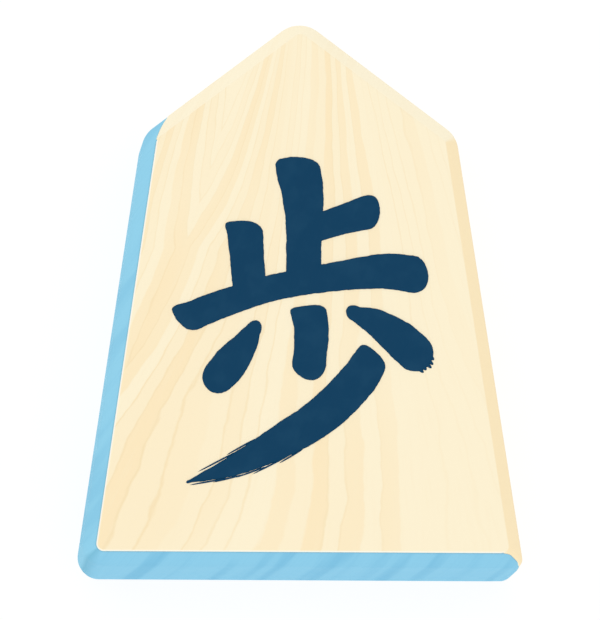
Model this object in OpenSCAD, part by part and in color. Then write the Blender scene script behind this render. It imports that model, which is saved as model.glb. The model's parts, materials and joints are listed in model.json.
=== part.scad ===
// Shogi pawn: a five-sided wooden wedge whose left side and base are lacquered,
// with a rank mark inlaid on the front and the promoted mark inlaid on the back.
// It lies on its back, with the base towards -Y and the point towards +Y.

/* [Blank] */
// Width across the base, between its sharp corners
base_w = 22.5; // [20:0.1:26]
// Height from the base to the sharp point of the roof
blank_h = 28.2; // [26:0.1:32]
// Thickness at the base
base_t = 7.7; // [6:0.1:10]
// Thickness at the sharp point of the roof
tip_t = 5; // [4:0.1:5.8]
// Lean of the two long sides, in degrees
side_lean = 8.5; // [6:0.1:10]
// Slope of the two roof sides, in degrees
roof_slope = 37.3; // [30:0.1:40]

/* [Edges] */
// Radius of the lacquered left base corner
left_base_corner_r = 1.1; // [0.5:0.05:2]
// Radius of the bare right base corner
right_base_corner_r = 0.55; // [0.45:0.05:1.2]
// Radius of the two shoulder corners
shoulder_corner_r = 1.5; // [0.9:0.05:2.5]
// Radius of the rounded point
point_corner_r = 1.5; // [0.9:0.05:2]
// Width and depth of the chamfer round both faces
chamfer = 0.65; // [0.3:0.05:0.8]
// Radius of the corners of the flat faces, inside the chamfer
face_corner_r = 0.4; // [0.2:0.05:0.8]

/* [Edge lacquer] */
// Thickness of the lacquer coat on the left side and on the base
coat_t = 0.12; // [0.06:0.01:0.2]
// Width by which the coats lap on to the flat faces
coat_lap = 0.02; // [0.01:0.01:0.05]
// Lean of the line where the left coat ends at the shoulder, in degrees
shoulder_cut_lean = 24; // [15:1:35]
// Radius of the rounded right end of the base coat
base_coat_end_r = 0.7; // [0.4:0.05:1]
// Lean of that end towards the right, from front to back, in degrees
base_coat_end_right = 4; // [0:0.5:6]
// Lean of that end towards the point, from front to back, in degrees
base_coat_end_up = 8; // [0:0.5:10]

/* [Rank mark] */
// Height of the grid that the front mark is written on
mark_h = 16.6; // [14:0.1:17.5]
// Distance from the base to the middle of the front mark
mark_y = 12.6; // [11.5:0.1:13.5]
// Width of a plain stroke of the front mark
mark_stroke_w = 1.75; // [1:0.05:2]
// Depth of the pockets cut for both marks
pocket_depth = 0.45; // [0.2:0.05:1]
// Height of the front mark's lacquer above the wood
mark_rise = 0.12; // [0:0.02:0.3]
// Gap between the lacquer and the wall of its pocket
fill_gap = 0.02; // [0.01:0.01:0.04]

/* [Promoted mark] */
// Height of the grid that the back mark is written on
back_mark_h = 15; // [11:0.1:17]
// Distance from the base to the middle of the back mark
back_mark_y = 12.4; // [11:0.1:13.5]
// Width of a plain stroke of the back mark
back_stroke_w = 1.4; // [0.8:0.05:1.7]
// Depth of the back mark's lacquer below the wood
back_recess = 0.03; // [0:0.01:0.1]

/* [Hidden] */

wood = [0.99, 0.93, 0.80];
sky_lacquer = [0.56, 0.81, 0.92];
navy_lacquer = [0.10, 0.26, 0.38];

// Length by which cutting shapes run past the surface that they cut
overrun = 0.3;
// Steps round each rounded corner
corner_steps = 10;
// Sides of a full circle
round_sides = 48;
// Steps along a stroke between two of its stations, and round each of its ends
stroke_steps = 9;
cap_steps = 12;

// Half of the angle between the two faces
half_wedge = atan((base_t - tip_t) / 2 / blank_h);
// Each of the five sides as [direction of its outward normal, distance from the middle of the base],
// counter-clockwise from the base
side_reach = base_w / 2 * cos(side_lean);
roof_reach = blank_h * cos(roof_slope);
sides = [
    [-90, 0],
    [side_lean, side_reach],
    [90 - roof_slope, roof_reach],
    [90 + roof_slope, roof_reach],
    [180 - side_lean, side_reach]
];
// Corner i lies between side i and the next one
base_right = 0;
point = 2;
left_shoulder = 3;
base_left = 4;
corner_r = [right_base_corner_r, shoulder_corner_r, point_corner_r, shoulder_corner_r, left_base_corner_r];

function heading(angle) = [cos(angle), sin(angle)];

// Direction that the outline faces at a share of the way round corner i
function facing(i, share) =
    let (
        first = sides[i][0],
        turn = sides[(i + 1) % len(sides)][0] - first
    )
    first + (turn < 0 ? turn + 360 : turn) * share;

// Corner i of the outline with all its sides drawn in by an inset
function corner(i, inset) =
    let (
        one = sides[i],
        two = sides[(i + 1) % len(sides)],
        a = one[1] - inset,
        b = two[1] - inset,
        turn = sin(two[0] - one[0])
    )
    [(a * sin(two[0]) - b * sin(one[0])) / turn, (b * cos(one[0]) - a * cos(two[0])) / turn];

// Outline with all its sides drawn in by an inset, and a radius for each corner
function outline(inset, radii) = [
    for (i = [0 : len(sides) - 1], k = [0 : corner_steps])
        corner(i, inset + radii[i]) + radii[i] * heading(facing(i, k / corner_steps))
];

// The radii of the corners at a share of the way from a face down its chamfer
function chamfer_radii(share) = [for (r = corner_r) face_corner_r + (r - face_corner_r) * share];

// Height of the front face above the middle plane, at a distance from the base
function face_z(y) = base_t / 2 - y * tan(half_wedge);

// Reach of the lying piece along X, over its rounded base corners
reach_left = corner(base_left, left_base_corner_r)[0] - left_base_corner_r;
reach_right = corner(base_right, right_base_corner_r)[0] + right_base_corner_r;
// Reach along Y, from the lower edge of the base to the upper edge of the point
point_y = corner(point, point_corner_r)[1] + point_corner_r;
reach_low = -(base_t / 2 - chamfer) * sin(half_wedge);
reach_high = point_y * cos(half_wedge) + (face_z(point_y) - chamfer) * sin(half_wedge);

// Point and pressures at t along a smooth curve through stations [x, y, pressure left, pressure right]
function on_curve(stations, t) =
    let (
        last = len(stations) - 1,
        i = min(floor(t), last - 1),
        f = t - i,
        p1 = stations[i],
        p2 = stations[i + 1],
        p0 = i > 0 ? stations[i - 1] : 2 * p1 - p2,
        p3 = i + 2 <= last ? stations[i + 2] : 2 * p2 - p1
    )
    p1 + (p2 - p0) * f / 2 + (2 * p0 - 5 * p1 + 4 * p2 - p3) * f * f / 2
        + (3 * p1 - p0 - 3 * p2 + p3) * f * f * f / 2;

function turned(v, angle) = [v[0] * cos(angle) - v[1] * sin(angle), v[0] * sin(angle) + v[1] * cos(angle)];

// Points round one end of a stroke: way is the direction out of the end, left and right are its half-widths
function cap(middle, way, left, right, bulge, slant) = [
    for (k = [1 : cap_steps - 1])
        let (a = 180 * k / cap_steps, w = cos(a) > 0 ? left : right)
        middle + turned(way, 90) * w * cos(a) + turned(way, slant * sin(a)) * bulge * sin(a)
];

// Outline of a brush stroke. A stroke is [stations, head, tail], with the places in hundredths of the
// grid's height and the pressures in plain strokes. A head or tail is [bulge, slant].
function stroke_outline(stroke, grid_h, stroke_w, grow) =
    let (
        unit = grid_h / 100,
        half = stroke_w / 2,
        stations = stroke[0],
        n = (len(stations) - 1) * stroke_steps,
        p = [for (k = [0 : n]) on_curve(stations, k / stroke_steps)],
        mid = [for (k = [0 : n]) [p[k][0], p[k][1]] * unit],
        way = [for (k = [0 : n]) let (d = mid[min(k + 1, n)] - mid[max(k - 1, 0)]) d / norm(d)],
        left = [for (k = [0 : n]) p[k][2] * half + grow],
        right = [for (k = [0 : n]) p[k][3] * half + grow],
        head = stroke[1],
        tail = stroke[2]
    )
    concat(
        [for (k = [0 : n]) mid[k] + turned(way[k], 90) * left[k]],
        cap(mid[n], way[n], left[n], right[n], tail[0] * half + grow, tail[1]),
        [for (k = [n : -1 : 0]) mid[k] - turned(way[k], 90) * right[k]],
        cap(mid[0], -way[0], right[0], left[0], head[0] * half + grow, head[1])
    );

// The strokes of the front mark, in the order in which they are written
post = [
    [[-1, 45.5, 1.4, 1.15], [0.5, 38, 1.25, 1.1], [1, 29, 1.05, 1], [1, 18, 1, 1], [1, 10, 1, 1]],
    [1.1, 30], [0.3, 0]
];
arm = [
    [[3, 27.5, 0.8, 0.75], [12, 30.5, 0.85, 0.8], [20, 33, 0.98, 0.95]],
    [0.3, 0], [0.95, 20]
];
stub = [
    [[-17.5, 26.5, 1.15, 0.9], [-16.5, 20, 1, 0.95], [-15.5, 8, 0.95, 0.95]],
    [0.95, 35], [0.2, 0]
];
beam = [
    [
        [-33.5, 1.5, 0.7, 1], [-25, 4.5, 0.75, 0.85], [-9, 9.5, 0.75, 0.75],
        [9, 13, 0.82, 0.82], [25, 15, 1, 1], [34, 14.2, 1.08, 1.08]
    ],
    [1.05, -25], [1, -15]
];
stem = [
    [[2, 1.5, 1.15, 0.9], [3, -3, 1.05, 0.95], [3, -9.5, 0.95, 0.95], [2.5, -14, 0.95, 0.95]],
    [0.7, 40], [0.9, 10]
];
left_dot = [
    [[-14.5, -3.5, 0.45, 0.45], [-17.5, -8, 0.8, 0.7], [-21.5, -13.5, 1, 0.95], [-24.8, -17.8, 0.95, 0.95]],
    [0.6, 0], [1, 0]
];
right_dot = [
    [[17, 2, 0.4, 0.5], [23, -1, 0.8, 0.75], [30, -6, 1.08, 1.02], [34.8, -10.4, 1.1, 1.05]],
    [0.6, 0], [1.05, 0]
];
sweep = [
    [
        [20.5, -13, 1.1, 0.9], [16.5, -19.5, 1.12, 1.05], [6.5, -29.5, 1.1, 1.05],
        [-7.5, -38.5, 0.95, 0.92], [-21.5, -45.8, 0.55, 0.55], [-34, -50.3, 0.08, 0.08]
    ],
    [0.85, 25], [0.2, 0]
];

// The strokes of the back mark
short_stroke = [
    [[-10, 33, 1.1, 0.8], [-8, 27, 1, 0.85], [-4, 13, 0.85, 0.85], [-2, 4, 0.8, 0.8]],
    [0.9, 25], [0.2, 0]
];
curl_stroke = [
    [
        [23, 21, 1, 0.9], [15, 15, 1.05, 1], [2, 6, 1, 0.95], [-10, -4, 1, 0.95],
        [-16, -17, 1.1, 1], [-9, -28, 1.15, 1.1], [6, -32, 1.15, 1.15], [22, -31, 1.2, 1.2]
    ],
    [1, -25], [1.1, 0]
];

// Strokes that run together into one pocket
top_strokes = [post, arm, stub, beam];
back_strokes = [short_stroke, curl_stroke];

// Turns the piece from its middle plane on to its back, with its box centred over the origin
module lying() {
    translate([-(reach_left + reach_right) / 2, -(reach_low + reach_high) / 2, base_t / 2 * cos(half_wedge)])
        rotate([-half_wedge, 0, 0])
            children();
}

// Stand upright on the front or the back face, at a distance from the base
module on_front(y) {
    translate([0, y, face_z(y)])
        rotate([-half_wedge, 0, 0])
            children();
}
module on_back(y) {
    mirror([0, 0, 1])
        mirror([1, 0, 0])
            on_front(y)
                children();
}

// A plan run through the piece, past both faces
module prism(plan) {
    translate([0, 0, -base_t])
        linear_extrude(2 * base_t)
            polygon(plan);
}

// The chamfered blank drawn in by an inset on every side, with its chamfers running a little past both
// faces. It is built from rings, from front to back, each as [share of the way down its chamfer, side].
module tall_blank(inset) {
    past = -0.1;
    rings = [[past, 1], [1, 1], [1, -1], [past, -1]];
    points = [
        for (ring = rings, p = outline(inset + chamfer * (1 - ring[0]), chamfer_radii(ring[0])))
            [p[0], p[1], ring[1] * (face_z(p[1]) - chamfer * ring[0])]
    ];
    n = len(points) / len(rings);
    lid = [for (k = [n - 1 : -1 : 0]) k];
    floor_face = [for (k = [0 : n - 1]) 3 * n + k];
    walls = [for (ring = [0 : 2], k = [0 : n - 1]) let (j = (k + 1) % n) [k, j, n + j, n + k] + ring * [n, n, n, n]];
    polyhedron(points, concat([lid, floor_face], walls));
}

// The space between the two faces
module between_faces() {
    low = -overrun - base_t;
    high = blank_h + base_t;
    front = [[low, face_z(low)], [high, face_z(high)]];
    back = [[high, -face_z(high)], [low, -face_z(low)]];
    rotate([90, 0, 90])
        translate([0, 0, -base_w])
            linear_extrude(2 * base_w)
                polygon(concat(front, back));
}

module blank() {
    intersection() {
        tall_blank(0);
        between_faces();
    }
}

// Plan of the lacquered band, which goes from the right base corner round to the left shoulder, from well
// outside the blank to well inside its faces. The two coats part on the mitre of the left base corner.
band_reach = base_w / 4;
mitre = [corner(base_left, band_reach), corner(base_left, -band_reach)];
face_shoulder = corner(left_shoulder, chamfer);
band_plan = [
    corner(base_right, band_reach),
    corner(base_right, -band_reach),
    mitre[1],
    corner(left_shoulder, 0) - [2 * band_reach, 0],
    face_shoulder + band_reach * heading(90 - shoulder_cut_lean),
    face_shoulder,
    corner(left_shoulder, band_reach),
    mitre[0]
];
base_half = concat(mitre, [[base_w, mitre[1][1]], [base_w, mitre[0][1]]]);
left_half = concat(mitre, [[-base_w, mitre[1][1]], [-base_w, blank_h], [mitre[0][0], blank_h]]);

// Middle of the rounded end of the base coat, at the front face
base_end = corner(base_right, chamfer) - [base_coat_end_r / 2, base_coat_end_r];

// What the rounded end leaves bare at the right base corner
module bare_corner() {
    translate([base_end[0], base_end[1], base_t / 2])
        rotate([base_coat_end_up, -base_coat_end_right, 0])
            translate([0, 0, -2 * base_t])
                linear_extrude(3 * base_t)
                    difference() {
                        square(band_reach);
                        circle(base_coat_end_r, $fn = round_sides);
                    }
}

// The outer layer of the wood's place that the lacquer takes
module lacquer_layer() {
    difference() {
        prism(band_plan);
        prism(outline(chamfer + coat_lap, [for (r = corner_r) face_corner_r - coat_lap]));
        bare_corner();
        tall_blank(coat_t);
    }
}

module coat(half) {
    lying()
        intersection() {
            blank();
            lacquer_layer();
            prism(half);
        }
}

// Strokes that run together, standing on the floor of their pocket
module writing(strokes, grid_h, stroke_w, grow, height) {
    translate([0, 0, -pocket_depth])
        linear_extrude(height)
            for (one = strokes)
                polygon(stroke_outline(one, grid_h, stroke_w, grow));
}

module front_lacquer(strokes) {
    lying()
        on_front(mark_y)
            writing(strokes, mark_h, mark_stroke_w, 0, pocket_depth + mark_rise);
}

module pockets() {
    on_front(mark_y)
        for (strokes = [top_strokes, [stem], [left_dot], [right_dot], [sweep]])
            writing(strokes, mark_h, mark_stroke_w, fill_gap, pocket_depth + overrun);
    on_back(back_mark_y)
        writing(back_strokes, back_mark_h, back_stroke_w, fill_gap, pocket_depth + overrun);
}

module body() {
    color(wood)
        lying()
            difference() {
                blank();
                lacquer_layer();
                pockets();
            }
}

module left_side_coat() {
    color(sky_lacquer) coat(left_half);
}

module base_coat() {
    color(sky_lacquer) coat(base_half);
}

module mark_top() {
    color(navy_lacquer) front_lacquer(top_strokes);
}

module mark_stem() {
    color(navy_lacquer) front_lacquer([stem]);
}

module mark_left_dot() {
    color(navy_lacquer) front_lacquer([left_dot]);
}

module mark_right_dot() {
    color(navy_lacquer) front_lacquer([right_dot]);
}

module mark_sweep() {
    color(navy_lacquer) front_lacquer([sweep]);
}

module back_mark() {
    color(navy_lacquer)
        lying()
            on_back(back_mark_y)
                writing(back_strokes, back_mark_h, back_stroke_w, 0, pocket_depth - back_recess);
}

body();
left_side_coat();
base_coat();
mark_top();
mark_stem();
mark_left_dot();
mark_right_dot();
mark_sweep();
back_mark();
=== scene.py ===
import json
import math

import bmesh
import bpy
import numpy as np
from mathutils import Matrix, Vector, noise
from mathutils.geometry import delaunay_2d_cdt


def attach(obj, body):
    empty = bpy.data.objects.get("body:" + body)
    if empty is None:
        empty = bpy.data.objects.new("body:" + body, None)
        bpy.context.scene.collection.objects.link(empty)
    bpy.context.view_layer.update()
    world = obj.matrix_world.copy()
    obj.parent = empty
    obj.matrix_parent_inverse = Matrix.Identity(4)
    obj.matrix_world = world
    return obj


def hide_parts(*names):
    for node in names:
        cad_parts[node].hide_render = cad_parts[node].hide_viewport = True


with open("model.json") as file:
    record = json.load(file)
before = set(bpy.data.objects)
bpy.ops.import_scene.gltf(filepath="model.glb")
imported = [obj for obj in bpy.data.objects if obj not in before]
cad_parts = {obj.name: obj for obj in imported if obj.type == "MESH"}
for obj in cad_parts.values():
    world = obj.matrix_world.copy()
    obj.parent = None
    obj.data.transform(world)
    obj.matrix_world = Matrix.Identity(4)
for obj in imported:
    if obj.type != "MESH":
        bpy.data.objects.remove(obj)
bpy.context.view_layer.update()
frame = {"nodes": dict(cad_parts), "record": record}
mm = 0.001
print("frame loaded:", ", ".join(sorted(frame["nodes"])))


# Colours are written as screen values from 0 to 255
def screen(*levels):
    return [((c / 255 + 0.055) / 1.055) ** 2.4 if c > 10 else c / 255 / 12.92 for c in levels] + [1.0]


# One shader or geometry node, with its inputs set to values or linked to sockets
def addNode(tree, kind, inputs=None, **settings):
    made = tree.nodes.new(kind)
    for name, value in settings.items():
        setattr(made, name, value)
    for key, value in (inputs or {}).items():
        if isinstance(value, bpy.types.NodeSocket):
            tree.links.new(value, made.inputs[key])
        else:
            made.inputs[key].default_value = value
    return made


def calc(tree, operation, a, b=0.0, c=0.0):
    return addNode(tree, "ShaderNodeMath", {0: a, 1: b, 2: c}, operation=operation).outputs[0]


def ramp(tree, value, low, high, toLow=0.0, toHigh=1.0):
    inputs = {"Value": value, "From Min": low, "From Max": high, "To Min": toLow, "To Max": toHigh}
    return addNode(tree, "ShaderNodeMapRange", inputs, interpolation_type="SMOOTHSTEP").outputs["Result"]


def blendColour(tree, factor, a, b):
    return addNode(tree, "ShaderNodeMix", {"Factor": factor, 6: a, 7: b}, data_type="RGBA").outputs[2]


def noiseAt(tree, x, y, z, detail):
    place = addNode(tree, "ShaderNodeCombineXYZ", {0: x, 1: y, 2: z}).outputs[0]
    inputs = {"Vector": place, "Scale": 1.0, "Detail": detail, "Roughness": 0.5}
    return addNode(tree, "ShaderNodeTexNoise", inputs).outputs["Fac"]


def chance(tree, number):
    return addNode(tree, "ShaderNodeTexWhiteNoise", {"W": number}, noise_dimensions="1D").outputs["Value"]


def startGroup(name, values, results):
    tree = bpy.data.node_groups.new(name, "ShaderNodeTree")
    for socket, start in values.items():
        made = tree.interface.new_socket(socket, in_out="INPUT", socket_type="NodeSocketFloat")
        made.default_value = start
    for socket in results:
        tree.interface.new_socket(socket, in_out="OUTPUT", socket_type="NodeSocketFloat")
    return tree, tree.nodes.new("NodeGroupInput").outputs, tree.nodes.new("NodeGroupOutput").inputs


# Object coordinates in millimetres
def objectPlace(tree):
    place = tree.nodes.new("ShaderNodeTexCoord").outputs["Object"]
    scaled = addNode(tree, "ShaderNodeVectorMath", {0: place, "Scale": 1 / mm}, operation="SCALE")
    return addNode(tree, "ShaderNodeSeparateXYZ", {0: scaled.outputs[0]}).outputs


# Noise stretched along the grain, with a form of [scale across, scale along, layer, detail]
def grainNoise(tree, across, along, form):
    acrossScale, alongScale, layer, detail = form
    stretched = [calc(tree, "MULTIPLY", across, acrossScale), calc(tree, "MULTIPLY", along, alongScale)]
    return noiseAt(tree, *stretched, layer, detail)


# Ranges are [from, to], strengths [from, to, value before, value after], and noises as grainNoise takes them
figureForm = {
    "inputs": {
        "Fan": 27.0, "Fan Turn": 4.0, "Band Pitch": 0.6, "Wander": 4.5, "Waver": 0.7, "Lean In": 0.9,
        "Flame Axis": -6.2, "Flame Foot": 2.5, "Flame Slope": 0.38, "Flame Reach": 6.5, "Fibre Width": 0.11,
    },
    "faceHeight": 6.0, "bandPower": 2.2, "bandBlend": (0.8, 1.0), "unlinedShare": 0.4,
    "lineRise": (0.78, 0.88), "lineFall": (0.88, 1.0),
    "wander": (0.19, 0.06, 3.0, 1.0), "waver": (1.4, 0.5, 8.0, 3.0), "patch": (0.3, 0.07, 15.0, 1.0),
    "patchStrength": (0.3, 0.6, 0.5, 1.0), "rightStrength": (3.0, 8.0, 1.0, 0.25),
    "leftStrength": (-8.0, -3.0, 1.45, 1.0),
    "fibre": (1.0, 0.4), "cloud": (0.9, 0.5), "fineDetail": 2.0,
}


# Wood figure: flat-toned bands that fan out from beyond the piece's point, lines between some, and fibres
def woodFigureGroup():
    form = figureForm
    tree, given, made = startGroup("woodFigure", form["inputs"], ("Band", "Line", "Fibre", "Cloud"))
    x, y, z = objectPlace(tree)

    # The fan opens more below the middle
    turn = calc(tree, "MULTIPLY", given["Fan Turn"], given["Fan Turn"])
    low = calc(tree, "SUBTRACT", calc(tree, "SQRT", calc(tree, "MULTIPLY_ADD", y, y, turn)), y)
    reach = calc(tree, "SUBTRACT", calc(tree, "MULTIPLY_ADD", low, 0.5, given["Fan"]), y)
    spread = calc(tree, "DIVIDE", calc(tree, "MULTIPLY", x, given["Fan"]), reach)
    depth = calc(tree, "SUBTRACT", z, form["faceHeight"])
    across = calc(tree, "MULTIPLY_ADD", depth, given["Lean In"], spread)

    # Near its axis the figure parts upward like a flame
    aside = calc(tree, "ABSOLUTE", calc(tree, "SUBTRACT", across, given["Flame Axis"]))
    above = calc(tree, "MAXIMUM", calc(tree, "SUBTRACT", y, given["Flame Foot"]))
    rise = calc(tree, "MULTIPLY", above, given["Flame Slope"])
    parting = calc(tree, "MULTIPLY", rise, ramp(tree, aside, 0.0, given["Flame Reach"], 1.0, 0.0))
    ring = calc(tree, "DIVIDE", calc(tree, "SUBTRACT", aside, parting), given["Band Pitch"])
    for name in ("Wander", "Waver"):
        drift = grainNoise(tree, across, y, form[name.lower()])
        ring = calc(tree, "MULTIPLY_ADD", drift, given[name], ring)

    # Each band has a tone of its own, which blends into the next one's
    number, part = calc(tree, "FLOOR", ring), calc(tree, "FRACT", ring)
    tones = [chance(tree, calc(tree, "ADD", number, k)) for k in (0.0, 1.0)]
    inputs = {"Factor": ramp(tree, part, *form["bandBlend"]), "A": tones[0], "B": tones[1]}
    tone = addNode(tree, "ShaderNodeMix", inputs).outputs[0]
    strength = ramp(tree, grainNoise(tree, across, y, form["patch"]), *form["patchStrength"])
    for side in ("rightStrength", "leftStrength"):
        strength = calc(tree, "MULTIPLY", strength, ramp(tree, x, *form[side]))
    band = calc(tree, "POWER", tone, form["bandPower"])
    tree.links.new(calc(tree, "MULTIPLY", band, strength), made["Band"])
    line = calc(tree, "SUBTRACT", ramp(tree, part, *form["lineRise"]), ramp(tree, part, *form["lineFall"]))
    isLined = calc(tree, "GREATER_THAN", chance(tree, calc(tree, "ADD", number, 0.5)), form["unlinedShare"])
    tree.links.new(calc(tree, "MULTIPLY", calc(tree, "MULTIPLY", line, isLined), strength), made["Line"])

    thread = calc(tree, "DIVIDE", across, given["Fibre Width"])
    for result, place in (("Fibre", thread), ("Cloud", x)):
        fine = grainNoise(tree, place, y, (*form[result.lower()], z, form["fineDetail"]))
        tree.links.new(fine, made[result])
    return tree


streakForm = {
    "inputs": {"Slant": 0.75, "Rise": 0.075, "Streak Width": 1.0, "Hair Width": 0.06},
    "along": 0.12, "streakRange": (0.46, 0.70), "streakNoise": (5.0, 2.0), "hairNoise": (9.0, 1.0),
    "pool": (0.9, 0.9), "poolDetail": 3.0,
}


# Brush streaks: slanting strokes of a wide brush, with hairs along them and soft pools between
def brushStreaksGroup():
    form = streakForm
    tree, given, made = startGroup("brushStreaks", form["inputs"], ("Streak", "Hair", "Pool"))
    x, y, z = objectPlace(tree)
    slanted = calc(tree, "MULTIPLY_ADD", y, given["Slant"], calc(tree, "MULTIPLY", z, given["Rise"]))
    across = calc(tree, "SUBTRACT", x, slanted)
    along = calc(tree, "MULTIPLY", calc(tree, "ADD", x, y), form["along"])
    wide = noiseAt(tree, calc(tree, "DIVIDE", across, given["Streak Width"]), along, *form["streakNoise"])
    tree.links.new(ramp(tree, wide, *form["streakRange"]), made["Streak"])
    hair = noiseAt(tree, calc(tree, "DIVIDE", across, given["Hair Width"]), along, *form["hairNoise"])
    tree.links.new(hair, made["Hair"])
    tree.links.new(grainNoise(tree, x, y, (*form["pool"], z, form["poolDetail"])), made["Pool"])
    return tree


woodFigure = woodFigureGroup()
brushStreaks = brushStreaksGroup()


def startMaterial(name, specular):
    made = bpy.data.materials.new(name)
    made.use_nodes = True
    tree = made.node_tree
    shader = tree.nodes["Principled BSDF"]
    shader.inputs["Specular IOR Level"].default_value = specular
    return made, tree, shader


mottleRange = (0.3, 0.7)
strandRange = (0.5, 0.75)


# The shader's colour, its roughness between two values as the mottle goes through its range, and fine relief
def dressShader(tree, shader, colour, mottle, roughness, height, depth):
    tree.links.new(colour, shader.inputs["Base Color"])
    tree.links.new(ramp(tree, mottle, *mottleRange, *roughness), shader.inputs["Roughness"])
    bump = addNode(tree, "ShaderNodeBump", {"Height": height, "Strength": 1.0, "Distance": depth})
    tree.links.new(bump.outputs[0], shader.inputs["Normal"])


def edgeLine(tree):
    return addNode(tree, "ShaderNodeAttribute", attribute_name="edgeLine").outputs["Fac"]


woodFinish = {
    "light": screen(253, 241, 210), "band": screen(252, 232, 192), "line": screen(247, 226, 184),
    # The two slope colours are painted shade and a painted highlight, set by which way a slope faces
    "fibre": screen(251, 236, 202), "paintedShadeSlope": screen(253, 232, 189), "paintedHighlightSlope": screen(254, 244, 216),
    # A painted highlight: the pale line in the wood along the blue's edge
    "paintedEdgeHighlight": screen(254, 250, 236),
    "roughness": (0.56, 0.68), "specular": 0.12, "fibreDepth": 0.003 * mm,
    "lineShare": 0.6, "fibreShare": 0.25, "paintedShadeShare": 0.85, "paintedHighlightShare": 0.8,
    "paintedShadeFacing": (0.3, 0.55), "paintedShadeLow": -0.5, "paintedHighlightFacing": (0.35, 0.5), "paintedHighlightUp": (0.3, 0.6),
}


def woodMaterial():
    form = woodFinish
    made, tree, shader = startMaterial("paleWood", form["specular"])
    figure = addNode(tree, "ShaderNodeGroup", node_tree=woodFigure).outputs
    normal = tree.nodes.new("ShaderNodeTexCoord").outputs["Normal"]
    facing = addNode(tree, "ShaderNodeSeparateXYZ", {0: normal}).outputs
    colour = blendColour(tree, figure["Band"], form["light"], form["band"])
    line = calc(tree, "MULTIPLY", figure["Line"], form["lineShare"])
    colour = blendColour(tree, line, colour, form["line"])
    strand = ramp(tree, figure["Fibre"], *strandRange, 0.0, form["fibreShare"])
    colour = blendColour(tree, strand, colour, form["fibre"])

    # Painted shade makes slopes that face right or down to the base warmer and darker, and a painted
    # highlight makes those that face the point paler
    lowRight = calc(tree, "MULTIPLY_ADD", facing["Y"], form["paintedShadeLow"], facing["X"])
    paintedShade = calc(tree, "MULTIPLY", ramp(tree, lowRight, *form["paintedShadeFacing"]), form["paintedShadeShare"])
    colour = blendColour(tree, paintedShade, colour, form["paintedShadeSlope"])
    # Painted highlight on slopes that face the point and up
    pale = ramp(tree, facing["Y"], *form["paintedHighlightFacing"])
    pale = calc(tree, "MULTIPLY", pale, ramp(tree, facing["Z"], *form["paintedHighlightUp"]))
    colour = blendColour(tree, calc(tree, "MULTIPLY", pale, form["paintedHighlightShare"]), colour, form["paintedHighlightSlope"])
    # Painted highlight along the edge of the blue, where the edgeLine mask is set
    colour = blendColour(tree, edgeLine(tree), colour, form["paintedEdgeHighlight"])
    dressShader(tree, shader, colour, figure["Cloud"], form["roughness"], figure["Fibre"], form["fibreDepth"])
    return made


# The blue on the left side and base is painted shade, laid as thin coats with brush streaks
shadeBlueFinish = {
    "leftShadeColour": screen(147, 210, 236), "baseDeeperShadeColour": screen(142, 205, 233), "streak": screen(125, 192, 224),
    "hair": screen(134, 199, 230), "edge": screen(122, 188, 215), "hairShare": 0.6,
    "leftContrast": 0.4, "baseContrast": 0.9,
    "roughness": (0.64, 0.76), "specular": 0.02, "hairDepth": 0.003 * mm,
}


def shadeBlueMaterial(name, light, contrast):
    form = shadeBlueFinish
    made, tree, shader = startMaterial(name, form["specular"])
    brush = addNode(tree, "ShaderNodeGroup", node_tree=brushStreaks).outputs
    colour = blendColour(tree, calc(tree, "MULTIPLY", brush["Streak"], contrast), light, form["streak"])
    strand = ramp(tree, brush["Hair"], *strandRange, 0.0, form["hairShare"] * contrast)
    colour = blendColour(tree, strand, colour, form["hair"])
    colour = blendColour(tree, edgeLine(tree), colour, form["edge"])
    dressShader(tree, shader, colour, brush["Pool"], form["roughness"], brush["Hair"], form["hairDepth"])
    return made


navyFinish = {
    "deep": screen(14, 62, 94), "thin": screen(22, 68, 99), "thinRange": (0.42, 0.72), "thinShare": 0.7,
    "brush": {"Hair Width": 0.09, "Slant": 0.4},
    "roughness": (0.44, 0.58), "specular": 0.05, "poolDepth": 0.01 * mm,
}


def navyLacquerMaterial():
    form = navyFinish
    made, tree, shader = startMaterial("navyLacquer", form["specular"])
    brush = addNode(tree, "ShaderNodeGroup", form["brush"], node_tree=brushStreaks).outputs
    thin = calc(tree, "MULTIPLY", ramp(tree, brush["Pool"], *form["thinRange"]), form["thinShare"])
    colour = blendColour(tree, thin, form["deep"], form["thin"])
    dressShader(tree, shader, colour, brush["Hair"], form["roughness"], brush["Pool"], form["poolDepth"])
    return made


paleWood = woodMaterial()
leftShadeMaterial = shadeBlueMaterial("paintedShadeLeft", shadeBlueFinish["leftShadeColour"], shadeBlueFinish["leftContrast"])
# The base's blue is a deeper painted shade than the left side's
baseDeeperShadeMaterial = shadeBlueMaterial("paintedDeeperShadeBase", shadeBlueFinish["baseDeeperShadeColour"], shadeBlueFinish["baseContrast"])
navyLacquer = navyLacquerMaterial()
print("materials made")

# The middle plane of the wedge, from the record's base mount
baseMount = next(m for m in frame["record"]["mounts"] if m["name"] == "base")
baseMiddle = Vector(baseMount["pos_m"])
upAxis = -Vector(baseMount["axis"]).normalized()
outAxis = Vector((1, 0, 0)).cross(upAxis)

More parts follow.
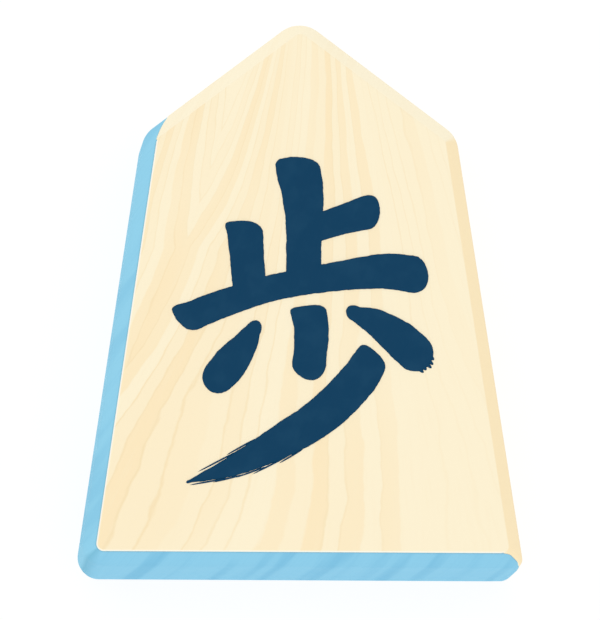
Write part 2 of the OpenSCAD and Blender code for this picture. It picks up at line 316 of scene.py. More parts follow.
blankForm = {
    "baseWidth": 22.5 * mm, "height": 28.2 * mm, "baseThickness": 7.7 * mm, "pointThickness": 5 * mm,
    "sideLean": 8.5, "roofSlope": 37.3,
    "cornerRadii": (0.45 * mm, 1.5 * mm, 1.5 * mm, 1.5 * mm, 1.1 * mm),  # from the right base corner round
    "backCornerRadii": (1.0 * mm, 1.5 * mm, 1.5 * mm, 1.5 * mm, 1.1 * mm), "backRounding": 5,
    "chamfer": 0.65 * mm, "faceCornerRadius": 0.4 * mm,
    "faceArris": 0.05 * mm, "sideArris": 0.09 * mm,
    "cornerSteps": 14, "sideSteps": 10, "slopeRows": 14, "wallRows": (1.2 * mm, 2 * mm, 3.2 * mm),
}
coatForm = {
    "thickness": 0.12 * mm, "lap": 0.02 * mm, "ease": 0.045 * mm, "sideArris": 0.35 * mm,
    "shoulderLeans": (14, 33), "shoulderRise": 0.55 * mm, "shoulderRound": 0.2 * mm,
    "endRadius": 0.78 * mm, "endShift": 0.4, "endRight": 4, "endUp": 8,
    "startRange": (2.6, 3.25), "endRange": (4.9, 5.25),  # places round the rim
    "edgeTint": 0.45, "mitreTint": 0.85, "mitreReach": 0.16, "mitreLeftReach": 0.04,
}
chamfer = blankForm["chamfer"]
baseHalf = blankForm["baseThickness"] / 2
taper = (blankForm["baseThickness"] - blankForm["pointThickness"]) / 2 / blankForm["height"]
coatEdge = chamfer + coatForm["lap"]
ease = coatForm["ease"]

# The five sides, counter-clockwise from the base: the way each faces, and its reach from the base's middle
leanSide, roofSide = blankForm["sideLean"], blankForm["roofSlope"]
sideReach = blankForm["baseWidth"] / 2 * math.cos(math.radians(leanSide))
roofReach = blankForm["height"] * math.cos(math.radians(roofSide))
facings = [math.radians(a) for a in (-90, leanSide, 90 - roofSide, 90 + roofSide, 180 - leanSide)]
reaches = [0, sideReach, roofReach, roofReach, sideReach]
baseRight, leftShoulder = 0, 3  # corners, numbered from the base round


def heading(angle):
    return Vector((math.cos(angle), math.sin(angle)))


def sharpCorner(i, inset):
    a, b = facings[i], facings[(i + 1) % 5]
    p, q = reaches[i] - inset, reaches[(i + 1) % 5] - inset
    turn = math.sin(b - a)
    return Vector((p * math.sin(b) - q * math.sin(a), q * math.cos(a) - p * math.cos(b))) / turn


# The corners' own radius at the side becomes the face's smaller one across the chamfer
def cornerPoint(i, share, inset, back):
    front, behind = blankForm["cornerRadii"][i], blankForm["backCornerRadii"][i]
    sideRadius = front + (behind - front) * back ** blankForm["backRounding"]
    faceRadius = chamfer + blankForm["faceCornerRadius"]
    middle = sideRadius + (faceRadius - sideRadius) * min(max(inset / chamfer, 0), 1)
    turn = (facings[(i + 1) % 5] - facings[i]) % (2 * math.pi)
    return sharpCorner(i, middle) + (middle - inset) * heading(facings[i] + turn * share)


# A place round the rim: each whole number starts a corner, and each half the side after it
def rimPoint(place, inset, back):
    i, part = math.floor(place) % 5, 2 * (place - math.floor(place))
    if part <= 1:
        return cornerPoint(i, part, inset, back)
    return cornerPoint(i, 1, inset, back).lerp(cornerPoint((i + 1) % 5, 0, inset, back), part - 1)


def inSpace(u, v, w):
    return baseMiddle + Vector((u, 0, 0)) + upAxis * v + outAxis * w


# A row is [inset, depth under its face, inward normal's two parts, 1 in front or -1 behind]
def backShare(row):
    share = row[1] / blankForm["baseThickness"]
    return share if row[4] > 0 else 1 - share


def rowPoint(place, row, drawnIn=0.0):
    inset, depth, normalIn, normalDown, side = row
    p = rimPoint(place, inset + drawnIn * normalIn, backShare(row))
    return inSpace(p.x, p.y, side * (baseHalf - p.y * taper - depth - drawnIn * normalDown))


def spaced(start, end, count):
    return [start + (end - start) * k / (count - 1) for k in range(count)]


def bend(start, knee, end, steps):
    points = []
    for k in spaced(0, 1, steps + 1):
        shares = ((1 - k) ** 2, 2 * k * (1 - k), k * k)
        points.append(tuple(sum(s * v for s, v in zip(shares, axis)) for axis in zip(start, knee, end)))
    return points


# Rows from the front face to mid-side, of the bare wood, of the wood under the blue painted shade and of that
# coat
slope = math.sqrt(0.5)
supportGap = 0.05 * mm
faceRing = coatEdge + ease + supportGap


def slopedRows(faceCut, sideCut):
    insets = spaced(chamfer - faceCut - supportGap, sideCut + supportGap, blankForm["slopeRows"])
    return [(d, chamfer - d) for d in insets]


def sideRows(arris):
    rows = bend((arris * slope, chamfer - arris * slope), (0, chamfer), (0, chamfer + arris), 4)
    rows.append((0, chamfer + arris + supportGap))
    return rows + [(0, depth) for depth in blankForm["wallRows"]]


def bareRows():
    face, side = blankForm["faceArris"], blankForm["sideArris"]
    rows = [(faceRing, 0)]
    rows += bend((chamfer + face, 0), (chamfer, 0), (chamfer - face * slope, face * slope), 3)
    return rows + slopedRows(face * slope, side * slope) + sideRows(side)


def underCoatRows():
    thickness = coatForm["thickness"]
    step = thickness - coatForm["lap"]
    rows = [(faceRing, 0)]
    rows += bend((coatEdge + ease, 0), (coatEdge, 0), (coatEdge, ease), 2)
    shares = spaced(0, 1, blankForm["slopeRows"] + 2)  # as many rows in all as the bare wood has
    rows += [(coatEdge + k * (thickness - coatEdge), step + k * (chamfer - step)) for k in shares]
    rows += [(thickness, chamfer + supportGap * k) for k in (1, 2, 3, 4, 5)]
    return rows + [(thickness, depth) for depth in blankForm["wallRows"]]


def coatRows():
    side = coatForm["sideArris"]
    rows = [(coatEdge, coatForm["thickness"] - coatForm["lap"])]
    rows += bend((coatEdge, ease), (chamfer, 0), (chamfer - ease, ease), 4)
    return rows + slopedRows(ease, side * slope) + sideRows(side)


# The rows' inward normals turn from the face's to the side's, and the rows behind mirror those in front
def bothSides(rows):
    front = []
    for inset, depth in rows:
        if inset > chamfer:
            normal = (0, 1)
        elif depth > chamfer:
            normal = (1, 0)
        else:
            normal = (slope, slope)
        front.append((inset, depth, *normal, 1))
    wall = len(blankForm["wallRows"])
    return front + [(*row[:4], -1) for row in reversed(front[:-wall])]


# Where the blue painted shade ends round the rim: at the left shoulder it follows the face's edge a little
# further and then bends to the roof, and at the right base corner it has a round end
faceShoulder = sharpCorner(leftShoulder, chamfer)
edgeLean, roofLean = coatForm["shoulderLeans"]
edgeCut, roofCut = heading(math.radians(-edgeLean)), heading(math.radians(-roofLean))
bendPoint = faceShoulder + coatForm["shoulderRise"] * heading(math.radians(90 - edgeLean))
endMiddle = sharpCorner(baseRight, chamfer) - coatForm["endRadius"] * Vector((coatForm["endShift"], 1))


def findPlace(low, high, isPast):
    for _ in range(40):  # halvings
        middle = (low + high) / 2
        low, high = (low, middle) if isPast(middle) else (middle, high)
    return (low + high) / 2


def bandStart(row):
    inset, back, blend = min(row[0], chamfer), backShare(row), coatForm["shoulderRound"]

    def isPast(place):
        out = rimPoint(place, inset, back) - bendPoint
        a, b = out.dot(edgeCut), out.dot(roofCut)
        return min(a, b) - max(blend - abs(a - b), 0) ** 2 / blend / 4 < 0
    return findPlace(*coatForm["startRange"], isPast)


def bandEnd(row):
    inset, depth, side = min(row[0], chamfer), row[1], row[4]
    if side < 0:
        return coatForm["endRange"][1]
    lean = Vector((math.tan(math.radians(coatForm["endRight"])), math.tan(math.radians(coatForm["endUp"]))))
    middle = endMiddle + lean * depth

    def isPast(place):
        out = rimPoint(place, inset, backShare(row)) - middle
        return out.x > 0 and out.y > 0 and out.length > coatForm["endRadius"]
    return findPlace(*coatForm["endRange"], isPast)


startMean = 3.1  # the lacquer's ends and its mitre, as places round the rim
endMean = 5.1
mitrePlace = 4.25
skewReach = 0.45  # how far from an end columns still lean with it
columnGap = 0.05  # least gap of columns to an eased end
coveredGap = 0.02  # and to an end under the blue painted shade


# Places near the blue coat's ends are skewed with the row, so that a column of points lies on each end
def skewed(place, row):
    moved = place
    start, end = bandStart(row), bandEnd(row)
    for mean, real in ((startMean, start), (startMean + 5, start + 5), (endMean, end)):
        moved += (real - mean) * max(0, 1 - abs(place - mean) / skewReach)
    return moved


# A small distance along the rim, kept short of the next column
def sidled(place, row, distance):
    nudge, most = 0.002, 0.4 * columnGap
    ahead, behind = [rimPoint(place + k, row[0], backShare(row)) for k in (nudge, -nudge)]
    pace = (ahead - behind).length / (2 * nudge)
    share = abs(distance) / (2 * ease)
    return place + math.copysign(min(abs(distance) / pace, most * share), distance)


def plainPlaces(low, high):
    corner, side = blankForm["cornerSteps"], blankForm["sideSteps"]
    shares = [k / corner / 2 for k in range(corner)] + [0.5 + k / side / 2 for k in range(side)]
    return [i + s for i in range(10) for s in shares if low < i + s < high]


# Columns from one end to another, as [place, sidle, drawn in]: the ends are eased over a narrow width
easeSteps = ((0, 1.0), (0.3, 0.3), (1, 0), (2, 0))


def columnsBetween(low, high):
    columns = [(place, 0, 0) for place in plainPlaces(low + columnGap, high - columnGap)]
    if low == mitrePlace:
        columns.insert(0, (low, 0, 0))
    else:
        columns = [(low, share * ease, inward * ease) for share, inward in easeSteps] + columns
    if high == mitrePlace:
        return columns + [(high, 0, 0)]
    return columns + [(high, -share * ease, inward * ease) for share, inward in reversed(easeSteps)]


def columnPoints(column, rows):
    place, sidle, drawnIn = column
    points = []
    for row in rows:
        at = sidled(skewed(place, row), row, sidle) if sidle else skewed(place, row)
        points.append(rowPoint(at, row, drawnIn if row[0] < chamfer else 0))
    return points


def gridFaces(bm, columns, closed):
    pairs = list(zip(columns, columns[1:])) + ([(columns[-1], columns[0])] if closed else [])
    for left, right in pairs:
        for k in range(len(left) - 1):
            bm.faces.new((left[k], left[k + 1], right[k + 1], right[k]))


def addColumns(bm, lineLayer, columnSets, lineTest):
    made = []
    for column, rows in columnSets:
        verts = [bm.verts.new(p) for p in columnPoints(column, rows)]
        for k, vert in enumerate(verts):
            vert[lineLayer] = lineTest(column, rows[k])
        made.append(verts)
    return made


def addObject(name, data):
    made = bpy.data.objects.new(name, data)
    bpy.context.scene.collection.objects.link(made)
    return made


sharpAngle = math.radians(50)


def finishPiece(bm, name, material, nodeName):
    bmesh.ops.remove_doubles(bm, verts=bm.verts, dist=1e-7)
    bmesh.ops.dissolve_degenerate(bm, dist=1e-8, edges=bm.edges)
    bmesh.ops.recalc_face_normals(bm, faces=bm.faces)
    for edge in bm.edges:
        edge.smooth = edge.is_manifold and edge.calc_face_angle() < sharpAngle
    mesh = bpy.data.meshes.new(name)
    bm.to_mesh(mesh)
    bm.free()
    mesh.polygons.foreach_set("use_smooth", [True] * len(mesh.polygons))
    mesh.materials.append(material)
    piece = addObject(name, mesh)
    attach(piece, "root")
    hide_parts(nodeName)
    print(name, "made with", len(mesh.polygons), "faces")


# The flat faces as [origin, way to the point, way out]
wedge = math.atan(taper)
frontPlane = (
    baseMiddle + outAxis * baseHalf,
    upAxis * math.cos(wedge) - outAxis * math.sin(wedge),
    outAxis * math.cos(wedge) + upAxis * math.sin(wedge),
)
backPlane = (
    baseMiddle - outAxis * baseHalf,
    upAxis * math.cos(wedge) + outAxis * math.sin(wedge),
    upAxis * math.sin(wedge) - outAxis * math.cos(wedge),
)


# A point over a plane, from its place on it and its height in millimetres
def overPlane(plane, x, y, height=0.0):
    origin, up, out = plane
    return origin + Vector((x * mm, 0, 0)) + up * (y * mm) + out * (height * mm)


# The outline of a mark's upper face, in millimetres on its plane
def markOutline(node, plane):
    origin, up, out = plane
    bm = bmesh.new()
    bm.from_mesh(frame["nodes"][node].data)
    bmesh.ops.remove_doubles(bm, verts=bm.verts, dist=1e-7)
    heights = {v: (v.co - origin).dot(out) for v in bm.verts}
    top = max(heights.values())
    isTop = {f: all(heights[v] > top - 0.01 * mm for v in f.verts) for f in bm.faces}
    rim = [e for e in bm.edges if sum(isTop[f] for f in e.link_faces) == 1]
    beside = {}
    for e in rim:
        for v in e.verts:
            beside.setdefault(v, []).append(e.other_vert(v))
    loop = [rim[0].verts[0], rim[0].verts[1]]
    while loop[-1] != loop[0]:
        before = loop[-2]
        loop.append(next(v for v in beside[loop[-1]] if v != before))
    points = np.array([(v.co.x / mm, (v.co - origin).dot(up) / mm) for v in loop[:-1]])
    bm.free()
    area = np.sum(points[:, 0] * np.roll(points[:, 1], -1) - points[:, 1] * np.roll(points[:, 0], -1))
    return points if area > 0 else points[::-1]


def resampled(points, spacing):
    closed = np.vstack([points, points[:1]])
    lengths = np.hypot(*np.diff(closed, axis=0).T)
    along = np.concatenate([[0], np.cumsum(lengths)])
    stops = np.linspace(0, along[-1], max(12, round(along[-1] / spacing)), endpoint=False)
    return np.stack([np.interp(stops, along, closed[:, k]) for k in (0, 1)], axis=1)


def outwardNormals(points):
    ways = np.roll(points, -1, axis=0) - np.roll(points, 1, axis=0)
    ways /= np.hypot(*ways.T)[:, None]
    return np.stack([ways[:, 1], -ways[:, 0]], axis=1)


# A brush leaves a slightly uneven edge: coarse and fine waves, as [scale, share, shift of the seed]
edgeWaves = ((1.7, 1.0, 0), (6, 0.6, 20))


def brushedEdge(points, grow, unevenness, seed):
    offsets = []
    for x, y in points:
        waves = [share * noise.noise(Vector((x * k, y * k, seed + shift))) for k, share, shift in edgeWaves]
        offsets.append(grow + unevenness * sum(waves))
    return points + outwardNormals(points) * np.array(offsets)[:, None]


def insideLoop(points, loop):
    inside = np.zeros(len(points), bool)
    for (x0, y0), (x1, y1) in zip(loop, np.roll(loop, -1, axis=0)):
        crosses = (y0 > points[:, 1]) != (y1 > points[:, 1])
        if crosses.any():
            border = (x1 - x0) * (points[:, 1] - y0) / (y1 - y0 + 1e-15) + x0
            inside ^= crosses & (points[:, 0] < border)
    return inside


def edgeDistances(points, loop):
    nearest = np.full(len(points), 1e9)
    for a, b in zip(loop, np.roll(loop, -1, axis=0)):
        way = b - a
        share = np.clip(((points - a) @ way) / max(way @ way, 1e-12), 0, 1)
        nearest = np.minimum(nearest, np.hypot(*(points - a - share[:, None] * way).T))
    return nearest


# Points inside a loop: rows along its edge, and an even spread over the rest
def fillPoints(loop, rimSteps, spacing):
    kept = []
    for step in rimSteps:
        inward = loop - outwardNormals(loop) * step
        kept.append(inward[edgeDistances(inward, loop) > 0.93 * step])  # not where the loop bends back
    low, high = loop.min(axis=0), loop.max(axis=0)
    rows = np.arange(low[1], high[1], spacing * 0.866)  # rows of even triangles
    places = np.arange(low[0], high[0], spacing)
    grid = np.array([(x + spacing / 2 * (k % 2), y) for k, y in enumerate(rows) for x in places])
    grid = grid[insideLoop(grid, loop)]
    kept.append(grid[edgeDistances(grid, loop) > rimSteps[-1] + spacing * 0.5])
    points = np.vstack(kept)
    return points[insideLoop(points, loop)]


# A closed piece of lacquer inside a loop: heightAt gives its upper face from the distance to the edge
def lacquerSolid(loop, plane, heightAt, floorHeight, rimSteps, spacing):
    points = np.vstack([loop, fillPoints(loop, rimSteps, spacing)])
    edges = [(k, (k + 1) % len(loop)) for k in range(len(loop))]
    flat, _, triangles, _, _, _ = delaunay_2d_cdt([Vector(p) for p in points], edges, [], 0, 1e-7)
    flat = np.array([tuple(p) for p in flat])
    middles = np.array([flat[list(t)].mean(axis=0) for t in triangles])
    triangles = [t for t, keep in zip(triangles, insideLoop(middles, loop)) if keep]
    distances = edgeDistances(flat, loop)
    bm = bmesh.new()
    upper = [bm.verts.new(overPlane(plane, *p, heightAt(p, d))) for p, d in zip(flat, distances)]
    lower = [bm.verts.new(overPlane(plane, *p, floorHeight)) for p in flat]
    sides = set()
    for a, b, c in triangles:
        bm.faces.new((upper[a], upper[b], upper[c]))
        bm.faces.new((lower[c], lower[b], lower[a]))
        sides.update(((a, b), (b, c), (c, a)))
    for a, b in sorted(sides):
        if (b, a) not in sides:
            bm.faces.new((upper[b], upper[a], lower[a], lower[b]))
    for v in [v for v in bm.verts if not v.link_faces]:
        bm.verts.remove(v)
    return bm


# The back mark's outline also shapes its pocket in the wood
backForm = {
    "pocket": 0.45, "recess": 0.03, "sag": 0.02, "sagReach": 0.25,
    "spacing": 0.12, "rimSteps": (0.04, 0.1, 0.18),
}
backLoop = resampled(markOutline("back_mark", backPlane), backForm["spacing"])

bare = bothSides(bareRows())
underCoat = bothSides(underCoatRows())
coat = bothSides(coatRows())


def makeBlank():
    bm = bmesh.new()
    lineLayer = bm.verts.layers.float.new("edgeLine")
    bareColumns = [(c, bare) for c in columnsBetween(endMean, startMean + 5)]
    coveredPlaces = [startMean, *plainPlaces(startMean + coveredGap, endMean - coveredGap), endMean]
    coveredColumns = [((p, 0, 0), underCoat) for p in coveredPlaces]

    # On the wood, the mask marks the painted highlight beside the blue
    def lineTest(column, row):
        inset, depth = row[:2]
        if column[2] > 0:
            return 1.0 if inset <= coatEdge else 0.0
        isCovered = startMean <= column[0] <= endMean
        return 1.0 if isCovered and inset >= coatEdge and inset < faceRing and depth <= ease else 0.0
    columns = addColumns(bm, lineLayer, bareColumns + coveredColumns, lineTest)
    gridFaces(bm, columns, True)
    bm.faces.new([c[0] for c in columns])
    bmesh.ops.remove_doubles(bm, verts=bm.verts, dist=1e-7)
    ringEdges = [e for e in bm.edges if len(e.link_faces) == 1]
    levels = (0, -backForm["pocket"])
    rim, ground = [[bm.verts.new(overPlane(backPlane, *p, level)) for p in backLoop] for level in levels]
    n = len(rim)
    rimEdges = [bm.edges.new((rim[k], rim[(k + 1) % n])) for k in range(n)]
    for k in range(n):
        bm.faces.new((rim[k], rim[(k + 1) % n], ground[(k + 1) % n], ground[k]))
    groundEdges = [bm.edges.get((ground[k], ground[(k + 1) % n])) for k in range(n)]
    bmesh.ops.triangle_fill(bm, use_beauty=True, edges=ringEdges + rimEdges)
    bmesh.ops.triangle_fill(bm, use_beauty=True, edges=groundEdges)
    finishPiece(bm, "woodBlank", paleWood, "body")


def makeCoat(name, node, material, low, high):
    bm = bmesh.new()
    lineLayer = bm.verts.layers.float.new("edgeLine")
    thickness = coatForm["thickness"]

    def innerRow(row):
        inset, depth, normalIn, normalDown, side = row
        if depth > chamfer:
            return (thickness, depth, normalIn, normalDown, side)
        inset = min(max(inset + thickness / 2, thickness), coatEdge)
        return (inset, chamfer + thickness - inset, normalIn, normalDown, side)

    # The blue painted shade is darker along its edges, and beside the mitre
    def lineTest(column, row):
        past = column[0] - mitrePlace
        reach = coatForm["mitreReach"] if past >= 0 else -coatForm["mitreLeftReach"]
        pool = coatForm["mitreTint"] * max(0, 1 - past / reach)
        isEdge = column[2] > 0 or (row[0] > chamfer - ease and row[1] <= chamfer)
        return max(pool, coatForm["edgeTint"] if isEdge else 0.0)
    columns = columnsBetween(low, high)
    outer = addColumns(bm, lineLayer, [(c, coat) for c in columns], lineTest)
    hidden = [innerRow(row) for row in coat]
    inner = addColumns(bm, lineLayer, [((c[0], c[1], 0), hidden) for c in columns], lambda c, r: 0.0)
    gridFaces(bm, outer, False)
    gridFaces(bm, inner, False)
    for k in range(len(coat) - 1):
        for outerEnd, innerEnd in ((outer[0], inner[0]), (outer[-1], inner[-1])):
            bm.faces.new((outerEnd[k], outerEnd[k + 1], innerEnd[k + 1], innerEnd[k]))
    for k in (0, -1):
        for a in range(len(columns) - 1):
            bm.faces.new((outer[a][k], outer[a + 1][k], inner[a + 1][k], inner[a][k]))
    finishPiece(bm, name, material, node)


makeBlank()
# Thin blue coats of painted shade on the left side and base
makeCoat("leftSidePaintedShade", "left_side_coat", leftShadeMaterial, startMean, mitrePlace)
makeCoat("basePaintedShade", "base_coat", baseDeeperShadeMaterial, mitrePlace, endMean)

# Rank mark: low beads of lacquer with brushed edges
markForm = {
    "rise": 0.075, "edgeWidth": 0.17, "sink": -0.03, "grow": 0.02, "unevenness": 0.03,
    "pool": 0.006, "poolScale": 0.8, "poolSeed": 4,
    "spacing": 0.13, "edgeSpacing": 0.07, "rimSteps": (0.015, 0.04, 0.08, 0.13),
}


def beadHeight(p, distance):
    share = min(distance / markForm["edgeWidth"], 1)
    scale = markForm["poolScale"]
    pool = markForm["pool"] * noise.noise(Vector((p[0] * scale, p[1] * scale, markForm["poolSeed"])))
    return (markForm["rise"] + pool) * math.sqrt(max(1 - (1 - share) ** 2, 0))


markNodes = {
    "markTopLacquer": "mark_top", "markStemLacquer": "mark_stem", "markLeftDotLacquer": "mark_left_dot",
    "markRightDotLacquer": "mark_right_dot", "markSweepLacquer": "mark_sweep",
}
markLoops = {}
for seed, (name, node) in enumerate(markNodes.items()):
    outline = resampled(markOutline(node, frontPlane), markForm["edgeSpacing"])
    outline = brushedEdge(outline, markForm["grow"], markForm["unevenness"], seed)
    bead = lacquerSolid(
        outline, frontPlane, beadHeight, markForm["sink"], markForm["rimSteps"], markForm["spacing"])
    finishPiece(bead, name, navyLacquer, node)
    markLoops[node] = outline


# Dry-brush streaks: slivers of lacquer along a path, with each one's length and sideways place a little
# random, and one turn for the whole path
def bristleStreaksTree():
    tree = bpy.data.node_groups.new("bristleStreaks", "GeometryNodeTree")
    kinds = {
        "Geometry": "Geometry", "Count": "Int", "Length": "Float", "Length Spread": "Float", "Width": "Float",
        "Height": "Float", "Sideways": "Float", "Turn": "Float", "Face Normal": "Vector", "Seed": "Int",
        "Material": "Material",
    }
    for name, kind in kinds.items():
        tree.interface.new_socket(name, in_out="INPUT", socket_type="NodeSocket" + kind)
    tree.interface.new_socket("Geometry", in_out="OUTPUT", socket_type="NodeSocketGeometry")
    given, made = tree.nodes.new("NodeGroupInput").outputs, tree.nodes.new("NodeGroupOutput").inputs

    def vectors(operation, **inputs):
        keys = {"a": 0, "b": 1, "scale": "Scale"}
        inputs = {keys[key]: value for key, value in inputs.items()}
        return addNode(tree, "ShaderNodeVectorMath", inputs, operation=operation).outputs[0]

    def randomAbout(spread, shift):
        low, seed = calc(tree, "SUBTRACT", 0.0, spread), calc(tree, "ADD", given["Seed"], shift)
        picked = addNode(tree, "FunctionNodeRandomValue", data_type="FLOAT")
        for socket, value in ((2, low), (3, spread), (8, seed)):  # least, most and seed of a float
            tree.links.new(value, picked.inputs[socket])
        return picked.outputs[1]
    path = addNode(tree, "GeometryNodeMeshToCurve", {"Mesh": given["Geometry"]})
    inputs = {"Curve": path.outputs[0], "Count": given["Count"]}
    points = addNode(tree, "GeometryNodeCurveToPoints", inputs, mode="COUNT").outputs
    across = vectors("CROSS_PRODUCT", a=given["Face Normal"], b=points["Tangent"])
    shift = vectors("SCALE", a=across, scale=randomAbout(given["Sideways"], 1))
    placed = addNode(tree, "GeometryNodeSetPosition", {"Geometry": points["Points"], "Offset": shift})
    way = vectors("ADD", a=points["Tangent"], b=vectors("SCALE", a=across, scale=given["Turn"]))
    level = addNode(tree, "FunctionNodeAlignRotationToVector", {"Vector": given["Face Normal"]}, axis="Z")
    inputs = {"Rotation": level.outputs[0], "Vector": way}
    along = addNode(tree, "FunctionNodeAlignRotationToVector", inputs, axis="X", pivot_axis="Z")
    stretch = calc(tree, "ADD", randomAbout(given["Length Spread"], 2), 1.0)
    length = calc(tree, "MULTIPLY", stretch, given["Length"])
    size = addNode(tree, "ShaderNodeCombineXYZ", {0: length, 1: given["Width"], 2: given["Height"]})
    sliver = addNode(tree, "GeometryNodeMeshUVSphere", {"Segments": 10, "Rings": 6, "Radius": 0.5})
    inputs = {
        "Points": placed.outputs[0], "Instance": sliver.outputs["Mesh"], "Rotation": along.outputs[0],
        "Scale": size.outputs[0],
    }
    spread = addNode(tree, "GeometryNodeInstanceOnPoints", inputs)
    real = addNode(tree, "GeometryNodeRealizeInstances", {0: spread.outputs[0]})
    smooth = addNode(tree, "GeometryNodeSetShadeSmooth", {0: real.outputs[0]})
    inputs = {"Geometry": smooth.outputs[0], "Material": given["Material"]}
    dressed = addNode(tree, "GeometryNodeSetMaterial", inputs)
    tree.links.new(dressed.outputs[0], made[0])
    return tree


bristleStreaks = bristleStreaksTree()
bristleForm = {
    "sweepLowerBristles": {
        "Count": 5, "Length": 1.9 * mm, "Length Spread": 0.3, "Width": 0.09 * mm,
        "Height": 0.08 * mm, "Sideways": 0.015 * mm, "Turn": 0.05, "Seed": 4,
    },
    "sweepUpperBristles": {
        "Count": 2, "Length": 2.2 * mm, "Length Spread": 0.3, "Width": 0.09 * mm,
        "Height": 0.08 * mm, "Sideways": 0.01 * mm, "Turn": -0.045, "Seed": 11,
    },
    "rightDotBristles": {
        "Count": 1, "Length": 0.5 * mm, "Length Spread": 0.25, "Width": 0.21 * mm,
        "Height": 0.1 * mm, "Sideways": 0.02 * mm, "Turn": 0.0, "Seed": 7,
    },
}
# Runs along the sweep's edge in millimetres: step 1 goes along the lower edge, -1 along the upper
sweepRuns = {
    "sweepLowerBristles": {"step": 1, "start": 1.2, "length": 4.4, "outward": 0.062},
    "sweepUpperBristles": {"step": -1, "start": 2.0, "length": 1.4, "outward": 0.07},
}
dotForm = {"way": (0.74, -0.67), "facing": 0.86, "every": 3, "rootLength": 0.1}


def makeBristles(name, paths):
    bm = bmesh.new()
    for path in paths:
        verts = [bm.verts.new(overPlane(frontPlane, *p)) for p in path]
        for a, b in zip(verts, verts[1:]):
            bm.edges.new((a, b))
    mesh = bpy.data.meshes.new(name + "Path")
    bm.to_mesh(mesh)
    bm.free()
    holder = addObject(name + "Path", mesh)
    modifier = holder.modifiers.new("bristles", "NODES")
    modifier.node_group = bristleStreaks
    values = {**bristleForm[name], "Face Normal": frontPlane[2], "Material": navyLacquer}
    for socket in bristleStreaks.interface.items_tree:
        if socket.in_out == "INPUT" and socket.name in values:
            modifier[socket.identifier] = values[socket.name]
    bpy.context.view_layer.update()
    finished = bpy.data.meshes.new_from_object(holder.evaluated_get(bpy.context.evaluated_depsgraph_get()))
    bpy.data.objects.remove(holder)
    finished.name = name
    piece = addObject(name, finished)
    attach(piece, "root")
    print(name, "made with", len(finished.polygons), "faces")


# A run of the loop's edge from its left tip, a little outside it
def tipPath(loop, step, start, length, outward):
    tip, per = int(loop[:, 0].argmin()), 1 / markForm["edgeSpacing"]
    picks = [(tip + step * k) % len(loop) for k in range(round(start * per), round((start + length) * per))]
    return (loop + outwardNormals(loop) * outward)[picks]


for name, run in sweepRuns.items():
    makeBristles(name, [tipPath(markLoops["mark_sweep"], **run)])
dotLoop, dotWay = markLoops["mark_right_dot"], np.array(dotForm["way"])
endPoints = dotLoop[outwardNormals(dotLoop) @ dotWay > dotForm["facing"]][::dotForm["every"]]
makeBristles("rightDotBristles", [[p - dotWay * dotForm["rootLength"], p] for p in endPoints])


# Back mark: lacquer that lies a little below the wood and sags towards its middle
def backHeight(_, distance):
    return -backForm["recess"] - backForm["sag"] * (1 - math.exp(-distance / backForm["sagReach"]))


backFill = lacquerSolid(
    backLoop, backPlane, backHeight, -backForm["pocket"], backForm["rimSteps"], backForm["spacing"])
finishPiece(backFill, "backMarkLacquer", navyLacquer, "back_mark")

# Floor, light and camera
stageForm = {"floorSize": 6.0, "floorDrop": 0.02 * mm, "paleFloor": 0.8, "whiteShare": 0.8, "glow": 1.08}


def pictureRays(tree):
    path = tree.nodes.new("ShaderNodeLightPath").outputs
    seen = calc(tree, "ADD", path["Is Camera Ray"], path["Is Glossy Ray"])
    return calc(tree, "MINIMUM", calc(tree, "ADD", seen, path["Is Transmission Ray"]), 1.0)


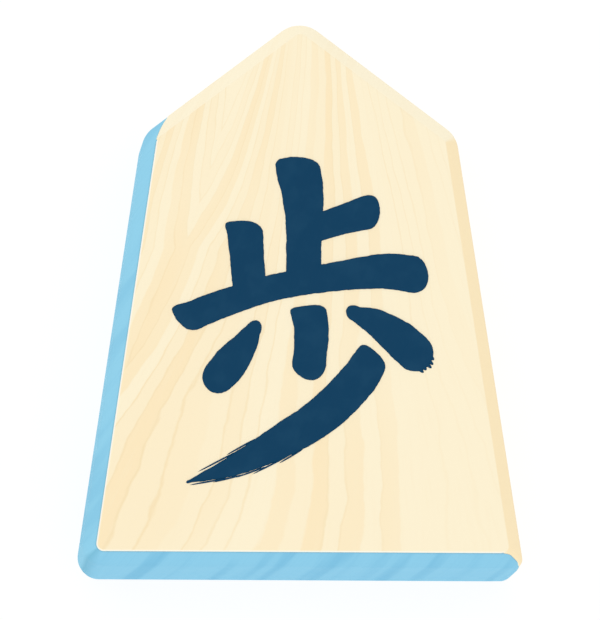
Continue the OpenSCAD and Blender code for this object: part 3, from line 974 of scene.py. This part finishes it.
def makeFloor():
    half, drop = stageForm["floorSize"] / 2, stageForm["floorDrop"]
    corners = [(x * half, y * half, -drop) for x, y in ((-1, -1), (1, -1), (1, 1), (-1, 1))]
    mesh = bpy.data.meshes.new("studioFloor")
    mesh.from_pydata(corners, [], [(0, 1, 2, 3)])
    floor = addObject("studioFloor", mesh)
    made = bpy.data.materials.new("paleFloor")
    made.use_nodes = True
    tree = made.node_tree
    tree.nodes.remove(tree.nodes["Principled BSDF"])
    pale = addNode(tree, "ShaderNodeBsdfDiffuse", {"Color": [stageForm["paleFloor"]] * 3 + [1]})
    white = addNode(tree, "ShaderNodeEmission", {"Color": [1, 1, 1, 1], "Strength": stageForm["glow"]})
    inputs = {0: stageForm["whiteShare"], 1: pale.outputs[0], 2: white.outputs[0]}
    mixed = addNode(tree, "ShaderNodeMixShader", inputs)
    tree.links.new(mixed.outputs[0], tree.nodes["Material Output"].inputs["Surface"])
    mesh.materials.append(made)


lightForm = {
    "sky": 0.86,
    "lamps": {
        "keyLamp": {"at": (-0.10, 0.12, 0.48), "size": 0.30, "watts": 0.35},
        "frontLamp": {"at": (0.04, -0.42, 0.16), "size": 0.30, "watts": 0.17},
    },
}


def makeLights():
    world = bpy.data.worlds.new("studio")
    bpy.context.scene.world = world
    world.use_nodes = True
    tree = world.node_tree
    back = tree.nodes["Background"]
    strength = ramp(tree, pictureRays(tree), 0.0, 1.0, lightForm["sky"], 1.0)
    back.inputs["Color"].default_value = (1, 1, 1, 1)
    tree.links.new(strength, back.inputs["Strength"])
    for name, form in lightForm["lamps"].items():
        lamp = bpy.data.lights.new(name, "AREA")
        lamp.size = form["size"]
        lamp.energy = form["watts"]
        holder = addObject(name, lamp)
        holder.location = form["at"]
        holder.rotation_euler = (-Vector(form["at"])).to_track_quat("-Z", "Y").to_euler()


cameraForm = {
    "lens": 1037, "distance": 906.6 * mm, "target": (0, 0, 3.5 * mm), "fromLeft": 3.123, "fromBase": 4.611,
    "roll": 0.098, "slideRight": 0.043 * mm, "slideUp": -0.411 * mm,
}


def makeCamera():
    look = cameraForm
    tilt = [math.tan(math.radians(look[k])) for k in ("fromLeft", "fromBase")]
    forward = Vector((*tilt, -1)).normalized()
    right = forward.cross(Vector((0, 1, 0))).normalized()
    up = right.cross(forward)
    slide = right * look["slideRight"] + up * look["slideUp"]
    place = Vector(look["target"]) - forward * look["distance"] + slide
    camera = addObject("camera", bpy.data.cameras.new("camera"))
    camera.data.lens = look["lens"]
    camera.data.clip_start, camera.data.clip_end = 0.01, 20
    roll = Matrix.Rotation(math.radians(look["roll"]), 4, "Z")
    turn = Matrix((right, up, -forward)).transposed().to_4x4() @ roll
    camera.matrix_world = Matrix.Translation(place) @ turn
    bpy.context.scene.camera = camera


makeFloor()
makeLights()
makeCamera()
bpy.context.scene.view_settings.view_transform = "Standard"
print("stage set")
